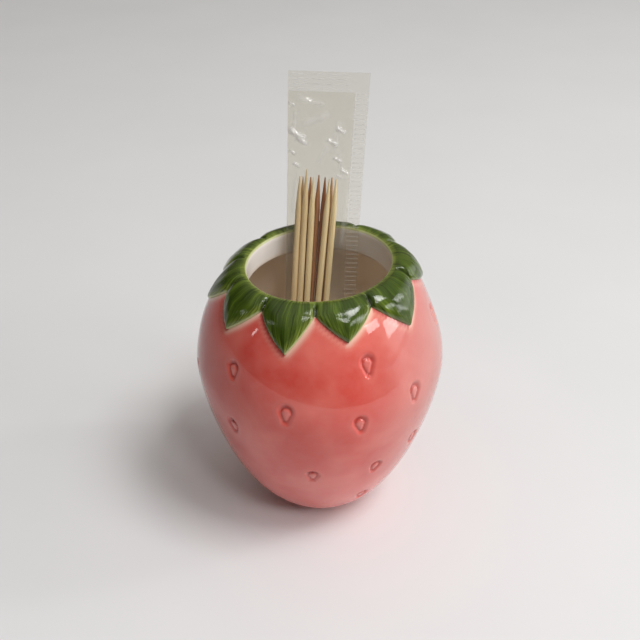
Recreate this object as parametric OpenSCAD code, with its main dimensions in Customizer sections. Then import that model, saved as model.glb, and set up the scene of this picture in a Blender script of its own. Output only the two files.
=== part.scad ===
// Glazed strawberry toothpick holder with a sealed sachet of ten toothpicks.
// Millimetres. The foot stands on Z = 0 with its centre at the origin, the
// mouth faces up, and the side seen first faces -Y. Angles round the body
// start there and grow towards +X.

/* [Strawberry body] */
// Width across the belly
body_w = 54; // [50:0.5:62]
// Height of the clay body, without the leaves that cover its lip
body_h = 60; // [56:0.5:70]
// Height of the widest point of the belly
belly_z = 38.5; // [34:0.5:42]
// Outside width of the flat foot ring
foot_w = 17.2; // [16:0.2:22]
// Width of the bevel between the foot ring and the belly
foot_bevel_w = 2.2; // [1.5:0.1:3]
// Height of that bevel
foot_bevel_h = 1; // [0.6:0.1:2]
// Width of the shallow recess under the foot
recess_w = 12.8; // [9:0.2:14]
// Depth of that recess
recess_h = 0.8; // [0.4:0.1:1.2]
// Thickness of the clay wall
wall = 3.2; // [2.4:0.1:4]
// Height of the inside floor above the table
floor_z = 4.5; // [4:0.1:7]
// Inside width of the mouth
mouth_w = 29.9; // [28:0.1:32]
// Width of the flat lip round the mouth
lip_w = 1.45; // [1:0.05:2]
// Depth of the straight bore below the lip
lip_h = 4.3; // [3:0.1:5]
// Height over which the neck opens out below that bore
neck_flare_h = 2.6; // [2:0.1:4]

/* [Dimples and seeds] */
// Width of a dimple
dimple_w = 3.2; // [2.4:0.1:3.6]
// Height of a dimple along the body
dimple_h = 5.2; // [4.4:0.1:6]
// Depth of a dimple
dimple_depth = 0.6; // [0.4:0.05:0.8]
// Width of the seed in a dimple
seed_w = 1.5; // [1:0.05:1.8]
// Height of the seed
seed_h = 2.8; // [2:0.1:3.4]
// Height that the seed stands above the bottom of its dimple
seed_rise = 0.5; // [0.3:0.02:0.7]

/* [Leaf collar] */
// Thickness of the leaves
leaf_t = 1.1; // [0.8:0.1:1.5]
// Reach of the longest leaf in plan, from the edge of the mouth
leaf_l = 8.3; // [7:0.1:9.5]
// Width of the rounded edge where the collar starts at the mouth
leaf_roll_w = 0.6; // [0.4:0.1:1]

/* [Toothpicks] */
// Diameter of a toothpick
pick_d = 1.3; // [1.1:0.05:1.35]
// Length of a toothpick
pick_l = 65; // [60:1:68]
// Length of each pointed end
pick_point_l = 7; // [4:0.5:10]
// Diameter at the very tip
pick_tip_d = 0.3; // [0.2:0.05:0.5]
// Free space between the front and the back layer of toothpicks
layer_gap = 0.15; // [0.1:0.05:0.3]

/* [Sachet] */
// Length of the sachet
sachet_l = 92; // [88:1:100]
// Thickness of the film
film_t = 0.1; // [0.08:0.01:0.15]
// Free space between the toothpicks and the film
film_gap = 0.25; // [0.2:0.05:0.35]
// Width of the crimped seal along the side
side_seal_w = 2.8; // [2:0.1:3]
// Height of the crimped seal at the bottom
bottom_seal_h = 4; // [3:0.5:6]
// Height of the crimped seal at the top
top_seal_h = 4; // [3:0.5:6]
// Length over which the film closes from full thickness to a seal
closing_l = 6; // [5:0.5:8]
// Height from which the empty top of the sachet lies flatter and wider
flare_z = 62; // [50:1:70]
// Extra width of the flat top on the folded side
flare_fold_w = 0.35; // [0:0.05:0.6]
// Extra width of the flat top on the sealed side
flare_seal_w = 0.8; // [0:0.05:1]
// Spacing of the crimp ribs
rib_pitch = 1; // [0.9:0.1:2]
// Width of a crimp rib
rib_w = 0.4; // [0.3:0.05:0.6]
// Height of a crimp rib above the sealed film, on each face
rib_rise = 0.08; // [0.05:0.01:0.12]
// Plain margin of the side seal beside its ribs
rib_margin = 0.2; // [0.1:0.05:0.5]

/* [How the sachet stands] */
// Distance of its foot to the left of the middle
stand_x = 1.35; // [1:0.05:1.6]
// Distance of its foot in front of the middle
stand_y = 3; // [1:0.1:4]
// Sideways tilt of the sachet, in degrees
side_tilt = 1.9; // [0:0.1:2.2]
// Clearance between the sachet and the clay at the floor
floor_clear = 0.12; // [0.1:0.02:0.3]
// Clearance between the sachet and the rim that it leans on
rim_clear = 0.3; // [0.2:0.05:0.5]

/* [Hidden] */
$fn = 96;
pick_count = 10;
function pick_name(i) = str("toothpick_", i < 9 ? "0" : "", i + 1);

// How far a cutting shape runs past the surface it cuts
overrun = 1;

// The body's outline is two Bezier curves that meet upright at the belly
curve_steps = 14;
belly_r = body_w / 2;
mouth_r = mouth_w / 2;
lip_r = mouth_r + lip_w;
foot_r = foot_w / 2 + foot_bevel_w;
low_start_shares = [0.564, 0.124];
low_end_share = 0.243;
high_start_share = 0.353;
high_end_share = 0.425;
low_curve = [
    [foot_r, foot_bevel_h],
    [foot_r + low_start_shares.x * (belly_r - foot_r),
     foot_bevel_h + low_start_shares.y * (belly_z - foot_bevel_h)],
    [belly_r, belly_z - low_end_share * (belly_z - foot_bevel_h)],
    [belly_r, belly_z]
];
high_curve = [
    [belly_r, belly_z],
    [belly_r, belly_z + high_start_share * (body_h - belly_z)],
    [lip_r + high_end_share * (belly_r - lip_r), body_h],
    [lip_r, body_h]
];

// A point on a Bezier curve, its direction there, and the curve moved outwards
function bezier(c, t) = pow(1 - t, 3) * c[0] + 3 * t * pow(1 - t, 2) * c[1]
    + 3 * t * t * (1 - t) * c[2] + pow(t, 3) * c[3];
function bezier_way(c, t) = pow(1 - t, 2) * (c[1] - c[0])
    + 2 * t * (1 - t) * (c[2] - c[1]) + t * t * (c[3] - c[2]);
function beside(c, t, out) = let (way = bezier_way(c, t))
    bezier(c, t) + out * [way.y, -way.x] / norm(way);
function line_beside(c, out, first = 0) =
    [for (i = [first : curve_steps]) beside(c, i / curve_steps, out)];
function reversed(list) = [for (i = [len(list) - 1 : -1 : 0]) list[i]];

// Outside and inside of the clay, from the foot to the lip
clay_outside = concat(line_beside(low_curve, 0), line_beside(high_curve, 0, 1));
clay_inside = concat(line_beside(low_curve, -wall), line_beside(high_curve, -wall, 1));
inside_radius_at = [for (p = clay_inside) [p.y, p.x]];
floor_r = lookup(floor_z, inside_radius_at);
neck_z = body_h - lip_h - neck_flare_h;

// Where a dimple lies on the body: angle, and height as a share of body_h
seed_shares = [
    [-42.7, 0.787], [23.9, 0.84], [46.4, 0.686], [-14.6, 0.69], [17.4, 0.644],
    [-42.6, 0.553], [-3.7, 0.382], [29.1, 0.385], [29.3, 0.175], [53, 0.435],
    [-77, 0.635], [80, 0.56], [84, 0.82],
    [108, 0.69], [150, 0.83], [168, 0.67], [205, 0.82], [232, 0.68],
    [258, 0.82], [135, 0.55], [195, 0.54], [255, 0.54], [96, 0.41],
    [130, 0.39], [165, 0.4], [210, 0.4], [250, 0.39], [288, 0.4],
    [75, 0.22], [118, 0.21], [162, 0.22], [208, 0.21], [255, 0.22], [298, 0.21]
];
outside_radius_at = [for (p = clay_outside) [p.y, p.x]];
slope_step_share = 0.01;
function outside_slope(z) = let (step = slope_step_share * body_h)
    atan2(lookup(z + step, outside_radius_at) - lookup(z - step, outside_radius_at), 2 * step);

// A sphere that cuts a round dimple of the given width and depth
function cutter_r(w, depth) = (w * w / 4 + depth * depth) / (2 * depth);
dimple_narrow_share = 0.5;

// Leaves in turn: angle of the tip, its reach as a share of leaf_l, angle of
// the notch after it, and the notch's own reach as a share of leaf_l
leaf_shares = [
    [15.6, 0.83, 33.7, 0.42], [53.7, 0.94, 74, 0.5], [95, 0.84, 117, 0.36], [134, 0.92, 152, 0.44],
    [170, 0.9, 189, 0.42], [208, 0.9, 226, 0.4], [245, 0.95, 258, 0.5], [268, 1, 287, 0.52],
    [306.1, 0.9, 323, 0.42], [344, 0.94, 357.8, 0.37]
];
leaf_bulge_shares = [0.38, 0.56];
leaf_steps = 6;
function plan(angle, share) = (mouth_r + leaf_l * share) * [sin(angle), -cos(angle)];
function side_mix(a, b, c, t) = (1 - t) * (1 - t) * a + 2 * t * (1 - t) * b + t * t * c;
function leaf_side(notch, tip) = [for (i = [1 : leaf_steps]) let (
        t = i / leaf_steps,
        way = tip - notch,
        p = side_mix(notch, notch + [way.x * leaf_bulge_shares.x, way.y * leaf_bulge_shares.y], tip, t)
    ) plan(p.x, p.y)];
function leaf_outline(i) = let (
        row = leaf_shares[i],
        last = leaf_shares[(i + len(leaf_shares) - 1) % len(leaf_shares)],
        before = [last[2] > row[0] ? last[2] - 360 : last[2], last[3]],
        tip = [row[0], row[1]],
        after = [row[2], row[3]]
    ) concat(leaf_side(before, tip), reversed(leaf_side(after, tip)), [plan(after.x, after.y)]);

// The sachet's own frame: X across it, Y through it, Z along it from its foot.
// The tube is measured in toothpick diameters on each side of its middle line.
fold_x_share = 6;
seam_x_share = 4;
fold_x = -fold_x_share * pick_d;
seam_x = seam_x_share * pick_d;
edge_x = seam_x + side_seal_w;
seal_t = 2 * film_t;
rib_t = seal_t + 2 * rib_rise;
layer_y = (pick_d + layer_gap) / 2;
tube_h = layer_y + pick_d / 2 + film_gap;
tube_from = bottom_seal_h;
tube_to = sachet_l - top_seal_h;
function flare(z) = max(0, z - flare_z) / (sachet_l - flare_z);

// It leans back until the corner of its sealed side meets the rim
collar_top = body_h + leaf_t;
stand_z = floor_z + floor_clear + edge_x * sin(side_tilt) + seal_t;
rim_rise = collar_top - stand_z;
rim_edge_x = edge_x - stand_x + rim_rise * tan(side_tilt);
rim_y = sqrt(pow(mouth_r - rim_clear, 2) - pow(rim_edge_x, 2)) - seal_t;
lean = atan2(rim_y + stand_y, rim_rise);

// Section of the tube: a flat oval
tube_round_share = 4;
tube_sides = 32;
tube_turns = 7;
first_turn = 6;
function oval(a) = pow(abs(a), 2 / tube_round_share) * sign(a);
function tube_ring(z, h, grow) = let (
        left = fold_x - flare(z) * flare_fold_w + film_t,
        right = seam_x + flare(z) * flare_seal_w,
        middle = (left + right) / 2,
        w = (right - left) / 2 + grow
    ) [for (i = [0 : tube_sides - 1]) let (a = 360 * i / tube_sides)
        [middle + w * oval(cos(a)), (h + grow) * oval(sin(a)), z]];
turn_angles = [for (i = [0 : tube_turns - 1]) first_turn + (90 - first_turn) * i / (tube_turns - 1)];
tube_stations = concat(
    [for (a = turn_angles) [tube_from + closing_l * (1 - cos(a)), tube_h * sin(a)]],
    [[flare_z, tube_h]],
    [for (a = reversed(turn_angles)) [tube_to - closing_l * (1 - cos(a)), tube_h * sin(a)]]
);

// Toothpicks, front layer first: foot and tip across the sachet in toothpick
// diameters, each with its layer from -1, front, to 1, back, and the height
// of the foot above the bottom seal in toothpick diameters
pick_shares = [
    [-5.27, -0.35, -3.96, -1, 1.15], [-4.15, -1, -2.86, -1, 2.35], [-3, -1, -1.75, -1, 1.05],
    [-1.9, -1, 0.86, -1, 0.9], [-0.35, -1, 1.97, -1, 0.88], [-4.55, 1, -3.44, 1, 0.9],
    [-3.48, 1, -2.2, 1, 0.88], [-2.4, 1, -0.85, 1, 1.25], [-1.36, 1, 0.17, 1, 0.88],
    [-0.28, 1, 1.31, 1, 0.9]
];

// Clay shell turned in one piece: belly, lip, inside, floor and foot recess
module clay_shell() {
    rotate_extrude()
        polygon(concat(
            [[foot_w / 2, 0]],
            clay_outside,
            [[mouth_r, body_h], [mouth_r, body_h - lip_h]],
            [[lookup(neck_z, inside_radius_at), neck_z]],
            reversed([for (p = clay_inside) if (p.y > floor_z && p.y < neck_z) p]),
            [[floor_r, floor_z], [0, floor_z], [0, recess_h],
             [recess_w / 2, recess_h], [recess_w / 2, 0]]
        ));
}

// Places its children on the body's surface, X outwards and Z up the body
module on_body(angle, z) {
    rotate([0, 0, angle - 90])
        translate([lookup(z, outside_radius_at), 0, z])
            rotate([0, outside_slope(z), 0])
                children();
}

// A drop along Z: a round top end, a smaller round bottom end, a cone between
module drop(top_r, bottom_r, h) {
    reach = (h - top_r - bottom_r) / 2;
    translate([0, 0, reach]) sphere(r = top_r);
    translate([0, 0, -reach]) sphere(r = bottom_r);
    translate([0, 0, -reach]) cylinder(h = 2 * reach, r1 = bottom_r, r2 = top_r);
}

// The hollow of a dimple, as deep as dimple_depth at its wide top end
module dimple_cutter() {
    r = cutter_r(dimple_w, dimple_depth);
    small_r = r - dimple_depth * (1 - dimple_narrow_share);
    spread = r - dimple_w / 2;
    translate([r - dimple_depth, 0, 0])
        drop(r, small_r, dimple_h + 2 * spread);
}

// The seed, rooted in the clay below its dimple
module seed() {
    r = seed_w / 2;
    small_r = r * dimple_narrow_share;
    translate([seed_rise - dimple_depth - r, 0, 0])
        drop(r, small_r, seed_h);
}

module strawberry_body() {
    color("#d9666b") {
        difference() {
            clay_shell();
            for (s = seed_shares) on_body(s.x, s.y * body_h) dimple_cutter();
        }
        for (s = seed_shares) on_body(s.x, s.y * body_h) seed();
    }
}

// Ten leaves and the rim band that joins them, pressed on as one collar
module leaf_collar() {
    color("#4f7a2b")
        intersection() {
            rotate_extrude()
                polygon(concat(
                    line_beside(high_curve, 0),
                    [for (a = [0 : 15 : 90])
                        [mouth_r + leaf_roll_w * (1 - cos(a)), body_h + leaf_t * sin(a)]],
                    reversed(line_beside(high_curve, leaf_t))
                ));
            linear_extrude(height = collar_top + overrun)
                polygon([for (i = [0 : len(leaf_shares) - 1]) each leaf_outline(i)]);
        }
}

// Turns the sachet's own frame to where it stands in the cup
module standing() {
    translate([-stand_x, -stand_y, stand_z])
        rotate([-lean, side_tilt, 0])
            children();
}

// A flat oval tube that closes towards both ends, made wider by grow all round
module tube(grow) {
    rings = [for (s = tube_stations) tube_ring(s.x, s.y, grow)];
    last = len(rings) - 1;
    polyhedron(
        points = [for (r = rings) each r],
        faces = concat(
            [[for (i = [0 : tube_sides - 1]) i]],
            [for (k = [0 : last - 1]) for (i = [0 : tube_sides - 1]) let (
                    j = (i + 1) % tube_sides,
                    low = k * tube_sides,
                    high = low + tube_sides
                ) [low + i, high + i, high + j, low + j]],
            [[for (i = [tube_sides - 1 : -1 : 0]) last * tube_sides + i]]
        )
    );
}

// The flat web of film, as wide and as long as the whole sachet
module web() {
    translate([0, seal_t / 2, 0])
        rotate([90, 0, 0])
            linear_extrude(height = seal_t)
                polygon([
                    [fold_x, 0], [edge_x, 0], [edge_x, flare_z],
                    [edge_x + flare_seal_w, sachet_l], [fold_x - flare_fold_w, sachet_l],
                    [fold_x, flare_z]
                ]);
}

// One crimp rib across the film, on both of its faces
module rib(from_x, to_x, z) {
    translate([from_x, -rib_t / 2, z - rib_w / 2])
        cube([to_x - from_x, rib_t, rib_w]);
}

module ribs() {
    for (z = [rib_pitch / 2 : rib_pitch : tube_to]) {
        shift = flare(z) * flare_seal_w;
        rib(seam_x + rib_margin + shift, edge_x - rib_margin + shift, z);
    }
    for (z = [rib_pitch / 2 : rib_pitch : bottom_seal_h - rib_w])
        rib(fold_x + rib_margin, edge_x - rib_margin, z);
    for (z = [tube_to + rib_pitch / 2 : rib_pitch : sachet_l - rib_w])
        rib(fold_x + rib_margin, edge_x - rib_margin, z);
}

module sachet_film() {
    color([0.9, 0.94, 0.96, 0.35])
        standing()
            difference() {
                union() {
                    web();
                    tube(film_t);
                    ribs();
                }
                tube(0);
            }
}

// A round stick with a point at each end, along Z
module pick_stick() {
    rotate_extrude()
        polygon([
            [0, 0], [pick_tip_d / 2, 0], [pick_d / 2, pick_point_l],
            [pick_d / 2, pick_l - pick_point_l], [pick_tip_d / 2, pick_l], [0, pick_l]
        ]);
}

module toothpick(i) {
    row = pick_shares[i];
    across = (row[2] - row[0]) * pick_d;
    through = (row[3] - row[1]) * layer_y;
    color("#d9b87f")
        standing()
            translate([row[0] * pick_d, row[1] * layer_y, bottom_seal_h + row[4] * pick_d])
                rotate([0, asin(norm([across, through]) / pick_l), atan2(through, across)])
                    pick_stick();
}

strawberry_body();
leaf_collar();
sachet_film();
for (i = [0 : pick_count - 1])
    toothpick(i);
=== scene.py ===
import math
import bmesh
import bpy
import numpy as np
from mathutils import Matrix, Vector
from mathutils.kdtree import KDTree


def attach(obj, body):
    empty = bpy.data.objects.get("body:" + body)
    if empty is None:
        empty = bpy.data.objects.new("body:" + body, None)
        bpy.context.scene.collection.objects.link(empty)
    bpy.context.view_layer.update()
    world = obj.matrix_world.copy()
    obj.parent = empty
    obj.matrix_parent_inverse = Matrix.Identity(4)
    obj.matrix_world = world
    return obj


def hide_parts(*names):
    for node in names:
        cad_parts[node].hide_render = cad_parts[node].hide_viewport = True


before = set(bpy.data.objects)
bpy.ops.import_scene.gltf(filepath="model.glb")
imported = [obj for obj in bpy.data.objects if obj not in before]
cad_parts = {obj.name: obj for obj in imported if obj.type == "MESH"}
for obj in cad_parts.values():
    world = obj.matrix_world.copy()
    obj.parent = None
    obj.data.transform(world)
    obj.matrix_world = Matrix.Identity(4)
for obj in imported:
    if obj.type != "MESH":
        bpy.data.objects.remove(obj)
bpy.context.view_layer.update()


# The strawberry cup
# A hollow cup of slip-cast stoneware, with a seed pressed out of each hollow. The outside
# is sprayed coral and dipped in clear glaze, the inside is white glaze, and the foot ring
# is wiped bare before firing. Sizes are in millimetres until the mesh is made.
MM = 0.001
BELLY_R, BELLY_Z, LIP_Z = 27.0, 38.5, 60.0
MOUTH_R, LIP_R = 14.95, 16.4
FOOT_R, FOOT_Z = 10.8, 1.0
WALL, FLOOR_Z = 3.2, 4.5
BORE_H, NECK_FLARE_H = 4.3, 2.6
CLAY_COLUMNS, CLAY_STEP, INSIDE_STEP = 240, 0.72, 1.3
HAND_WOBBLE = 0.12
SHOULDER_Z, RIM_TILT, MOUTH_SHIFT, SHOULDER_SHIFT = 42, 0.065, -0.25, -0.35
SKIN_DEEP, LIP_MARGIN = 0.4, 0.05  # how far a point of the outside may lie off its outline
SHARP_CORNER = math.radians(55)
HOLLOW_W, HOLLOW_NARROW_W, HOLLOW_H, HOLLOW_DEPTH = 2.9, 1.4, 4.3, 0.5
SEED_W, SEED_NARROW_W, SEED_H, SEED_RISE = 1.9, 0.8, 2.8, 0.42
SEED_LEAN, SEED_UNLIKE, SEED_DROP, SEED_ROUND = 0.16, 0.08, 0.1, 0.7
HOLLOW_FLOOR, HOLLOW_BRIM = -0.75, 0.5  # distance from the hollow's edge, below 0 inside it
THIN_AT, THIN_W, SEED_PALE = 0.75, 0.45, 0.45
FINE_REACHES = (1.9, 0.75)  # finer faces round each hollow, then finer still in it
SEED_PLACES = [  # angle round the body from the front, and share of its height
    (-42.7, 0.787), (23.9, 0.84), (46.4, 0.686), (-14.6, 0.69), (17.4, 0.644), (-42.6, 0.553),
    (-3.7, 0.382), (29.1, 0.385), (29.3, 0.175), (53, 0.435), (-77, 0.635), (80, 0.56),
    (84, 0.82), (108, 0.69), (150, 0.83), (168, 0.67), (205, 0.82), (232, 0.68), (258, 0.82),
    (135, 0.55), (195, 0.54), (255, 0.54), (96, 0.41), (130, 0.39), (165, 0.4), (210, 0.4),
    (250, 0.39), (288, 0.4), (75, 0.22), (118, 0.21), (162, 0.22), (208, 0.21), (255, 0.22),
    (298, 0.21),
]


def bezier(points, t):
    a, b, c, d = (np.array(p, float) for p in points)
    t = np.asarray(t, float)[:, None]
    return (1 - t) ** 3 * a + 3 * t * (1 - t) ** 2 * b + 3 * t * t * (1 - t) * c + t ** 3 * d


def run_of(line):
    return np.concatenate([[0.0], np.cumsum(np.hypot(*np.diff(line, axis=0).T))])


def out_of(line):
    way = np.gradient(line, axis=0)
    return np.stack([way[:, 1], -way[:, 0]], 1) / np.hypot(way[:, 0], way[:, 1])[:, None]


def smooth(x, start, end):
    t = np.clip((x - start) / (end - start), 0, 1)
    return t * t * (3 - 2 * t)


low_curve = [(FOOT_R, FOOT_Z),
             (FOOT_R + 0.564 * (BELLY_R - FOOT_R), FOOT_Z + 0.124 * (BELLY_Z - FOOT_Z)),
             (BELLY_R, BELLY_Z - 0.243 * (BELLY_Z - FOOT_Z)), (BELLY_R, BELLY_Z)]
high_curve = [(BELLY_R, BELLY_Z), (BELLY_R, BELLY_Z + 0.353 * (LIP_Z - BELLY_Z)),
              (LIP_R + 0.425 * (BELLY_R - LIP_R), LIP_Z), (LIP_R, LIP_Z)]
steps = np.linspace(0, 1, 300)
clay_line = np.vstack([bezier(low_curve, steps), bezier(high_curve, steps)[1:]])
clay_run = run_of(clay_line)
clay_out = out_of(clay_line)
seed_runs = [np.interp(share * LIP_Z, clay_line[:, 1], clay_run) for _, share in SEED_PLACES]


def place_on_clay(points):
    """Where each point lies on the outside's outline: run from the foot, and distance off it."""
    r = np.hypot(points[:, 0], points[:, 1])
    runs, off = np.empty(len(r)), np.empty(len(r))
    for part in np.array_split(np.arange(len(r)), 1 + len(r) // 20000):
        dr = r[part, None] - clay_line[:, 0]
        dz = points[part, 2, None] - clay_line[:, 1]
        near = np.hypot(dr, dz).argmin(1)
        row = np.arange(len(part))
        dr, dz = dr[row, near], dz[row, near]
        runs[part] = clay_run[near] + dr * -clay_out[near, 1] + dz * clay_out[near, 0]
        off[part] = dr * clay_out[near, 0] + dz * clay_out[near, 1]
    return np.clip(runs, 0, clay_run[-1]), off


def drop_distance(u, v, wide, narrow, height):
    """Distance to a drop's edge, wide end up: below 0 inside it."""
    big, small = wide / 2, narrow / 2
    span = height - big - small
    x, y = np.abs(u), height / 2 - big - v
    slope = (big - small) / span
    rise = math.sqrt(1 - slope * slope)
    k = rise * y - slope * x
    return np.where(k < 0, np.hypot(x, y) - big,
                    np.where(k > rise * span, np.hypot(x, y - span) - small,
                             rise * x + slope * y - big))


def wobble(angle, z):
    """The small unevenness of a cup that was cast and sponged by hand, never outwards."""
    w = (0.5 * np.sin(2 * angle + 0.7) * np.cos(z / 11) + 0.3 * np.sin(3 * angle - 1.2 + z / 15)
         + 0.2 * np.sin(5 * angle + 2 - z / 8))
    return HAND_WOBBLE * (w - 1) * smooth(z, FOOT_Z, FOOT_Z + 4)


def set_mouth(points):
    """The real mouth isn't quite true: it stands higher on the right, and all of it leans left."""
    share = smooth(points[:, 2], SHOULDER_Z, LIP_Z)
    points[:, 2] += RIM_TILT * points[:, 0] * share
    points[:, 0] += MOUTH_SHIFT * share + SHOULDER_SHIFT * 4 * share * (1 - share)
    return points


def nearest_seed(angle, runs):
    """For each point, its place beside the nearest seed: across, up, and the hollow's edge."""
    best = np.full(len(angle), 99.0)
    across, up = np.zeros(len(angle)), np.zeros(len(angle))
    r = np.interp(runs, clay_run, clay_line[:, 0])
    for k, ((seed_angle, _), seed_run) in enumerate(zip(SEED_PLACES, seed_runs)):
        turn = (angle - math.radians(seed_angle) + math.pi) % (2 * math.pi) - math.pi
        u, v = turn * r, runs - seed_run
        lean, size = SEED_LEAN * math.sin(5 * k + 1), 1 + SEED_UNLIKE * math.sin(7 * k)
        u, v = (u + lean * v) / size, (v - lean * u) / size
        d = drop_distance(u, v, HOLLOW_W, HOLLOW_NARROW_W, HOLLOW_H)
        closer = d < best
        best[closer], across[closer], up[closer] = d[closer], u[closer], v[closer]
    return across, up, best


def angle_of(points):
    return np.arctan2(points[:, 0], -points[:, 1])


def turned(outline, columns):
    """A mesh turned from an outline that starts and ends on the axis, its faces pointing out."""
    turn = np.arange(columns) * 2 * math.pi / columns
    verts, starts = [], []
    for r, z in outline:
        starts.append(len(verts))
        if r < 1e-6:
            verts.append((0.0, 0.0, z))
        else:
            verts.extend(zip(r * np.sin(turn), -r * np.cos(turn), [z] * columns))
    faces, bands = [], []
    for k in range(len(outline) - 1):
        a, b = starts[k], starts[k + 1]
        for i in range(columns):
            j = (i + 1) % columns
            if outline[k][0] < 1e-6:
                faces.append((a, b + j, b + i))
            elif outline[k + 1][0] < 1e-6:
                faces.append((a + i, a + j, b))
            else:
                faces.append((a + i, a + j, b + j, b + i))
            bands.append(k)
    return verts, faces, bands


under = [(0, 0.8), (3, 0.8), (6.1, 0.8), (6.33, 0.72), (6.4, 0.5), (6.4, 0.14), (6.52, 0.0),
         (7.5, 0.0), (8.45, 0.0), (8.7, 0.05), (9.3, 0.32), (10.1, 0.68)]
out_runs = np.linspace(0, clay_run[-1], int(clay_run[-1] / CLAY_STEP))
outside = [(np.interp(s, clay_run, clay_line[:, 0]), np.interp(s, clay_run, clay_line[:, 1]))
           for s in out_runs]
inside_line = (clay_line - WALL * clay_out)[::-1]
inside_line = inside_line[(inside_line[:, 1] > FLOOR_Z + 1.8)
                          & (inside_line[:, 1] < LIP_Z - BORE_H - NECK_FLARE_H)]
bore_end = LIP_Z - BORE_H
over = [(r, LIP_Z) for r in (16.0, 15.5, 15.1)]
over += [(MOUTH_R - 0.01, LIP_Z - down) for down in (0.01, 0.3)]
over += [(MOUTH_R, LIP_Z - down) for down in (0.7, 1.5, 2.4, 3.2)]
over += [tuple(p) for p in bezier([(MOUTH_R, bore_end + 0.3), (MOUTH_R, bore_end - 0.5),
                                   (MOUTH_R + 1.15, bore_end - 1), inside_line[0]],
                                  np.linspace(0, 1, 9))[:-1]]
inside_run = run_of(inside_line)
inside = [(np.interp(s, inside_run, inside_line[:, 0]), np.interp(s, inside_run, inside_line[:, 1]))
          for s in np.linspace(0, inside_run[-1], int(inside_run[-1] / INSIDE_STEP))]
corner = inside[-1]
bend = [tuple(p) for p in bezier([corner, (corner[0] - 1.6, 5.2), (8.2, FLOOR_Z), (6.4, FLOOR_Z)],
                                 np.linspace(0, 1, 8))[1:]]
outline = under + outside + over + inside + bend + [(4, FLOOR_Z), (1.8, FLOOR_Z), (0, FLOOR_Z)]
verts, faces, bands = turned(outline, CLAY_COLUMNS)
bare_to = len(under) - 2
white_from = len(under) + len(outside) + 1

clay_mesh = bpy.data.meshes.new("strawberry_cup")
clay_mesh.from_pydata(verts, [], faces)
clay_mesh.polygons.foreach_set("material_index", [
    2 if k < bare_to else 1 if k >= white_from else 0 for k in bands])
clay_work = bmesh.new()
clay_work.from_mesh(clay_mesh)
for reach in FINE_REACHES:
    centres = np.array([f.calc_center_median()[:] for f in clay_work.faces])
    runs, off = place_on_clay(centres)
    edge = nearest_seed(angle_of(centres), runs)[2]
    near = (edge < reach) & (np.abs(off) < 2 * SKIN_DEEP) & (centres[:, 2] > FOOT_Z + 1)
    clay_work.faces.ensure_lookup_table()
    edges = {e for i in np.nonzero(near)[0] for e in clay_work.faces[i].edges}
    bmesh.ops.subdivide_edges(clay_work, edges=list(edges), cuts=1, use_grid_fill=True)
clay_work.to_mesh(clay_mesh)
clay_work.free()


def points_of(mesh):
    points = np.empty(len(mesh.vertices) * 3)
    mesh.vertices.foreach_get("co", points)
    return points.reshape(-1, 3)


points = points_of(clay_mesh)
runs, off = place_on_clay(points)
outer = (np.hypot(points[:, 0], points[:, 1]) > LIP_R - LIP_MARGIN) | (points[:, 2] < BELLY_Z)
skin = (np.abs(off) < SKIN_DEEP) & (points[:, 2] > FOOT_Z - 0.01) & outer
turn = angle_of(points)
across, up, hollow_edge = nearest_seed(turn, runs)
seed_edge = drop_distance(across, up + SEED_DROP, SEED_W, SEED_NARROW_W, SEED_H)
sink = 1 - smooth(hollow_edge, HOLLOW_FLOOR, HOLLOW_BRIM)
dome = np.sqrt(1 - np.clip(1 + seed_edge / SEED_ROUND, 0, 1) ** 2)
rise = -HOLLOW_DEPTH * sink + SEED_RISE * dome + wobble(turn, points[:, 2])
r = np.interp(runs, clay_run, clay_line[:, 0]) + rise * np.interp(runs, clay_run, clay_out[:, 0])
z = np.interp(runs, clay_run, clay_line[:, 1]) + rise * np.interp(runs, clay_run, clay_out[:, 1])
points[skin] = np.stack([r * np.sin(turn), -r * np.cos(turn), z], 1)[skin]
points = set_mouth(points)
clay_mesh.vertices.foreach_set("co", (points * MM).ravel())


def mark(mesh, name, values):
    layer = mesh.attributes.get(name) or mesh.attributes.new(name, "FLOAT", "POINT")
    layer.data.foreach_set("value", np.asarray(values, np.float32))


mark(clay_mesh, "seed", np.where(skin, smooth(-seed_edge, 0.0, SEED_PALE), 0))
mark(clay_mesh, "thin", np.where(skin, np.exp(-((hollow_edge - THIN_AT) / THIN_W) ** 2), 0))
clay_mesh.shade_smooth()
clay_mesh.set_sharp_from_angle(angle=SHARP_CORNER)


def linear(code):
    """An sRGB hex colour as the linear values that a socket takes."""
    parts = [int(code[i:i + 2], 16) / 255 for i in (1, 3, 5)]
    return [c / 12.92 if c <= 0.04045 else ((c + 0.055) / 1.055) ** 2.4 for c in parts] + [1.0]


def feed(node, sockets):
    """Gives each of these sockets, by its name or number, a value or a link."""
    for key, value in sockets.items():
        if isinstance(value, bpy.types.NodeSocket):
            node.id_data.links.new(value, node.inputs[key])
        else:
            node.inputs[key].default_value = value


def add_node(tree, kind, sockets=None, out=0, **settings):
    """Adds a node with its settings and feeds it. Gives one of its outputs, or all if out is None."""
    node = tree.nodes.new(kind)
    for name, value in settings.items():
        setattr(node, name, value)
    feed(node, sockets or {})
    return node.outputs if out is None else node.outputs[out]


def new_finish(name):
    finish = bpy.data.materials.new(name)
    finish.use_nodes = True
    return finish, finish.node_tree, finish.node_tree.nodes["Principled BSDF"]


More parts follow.
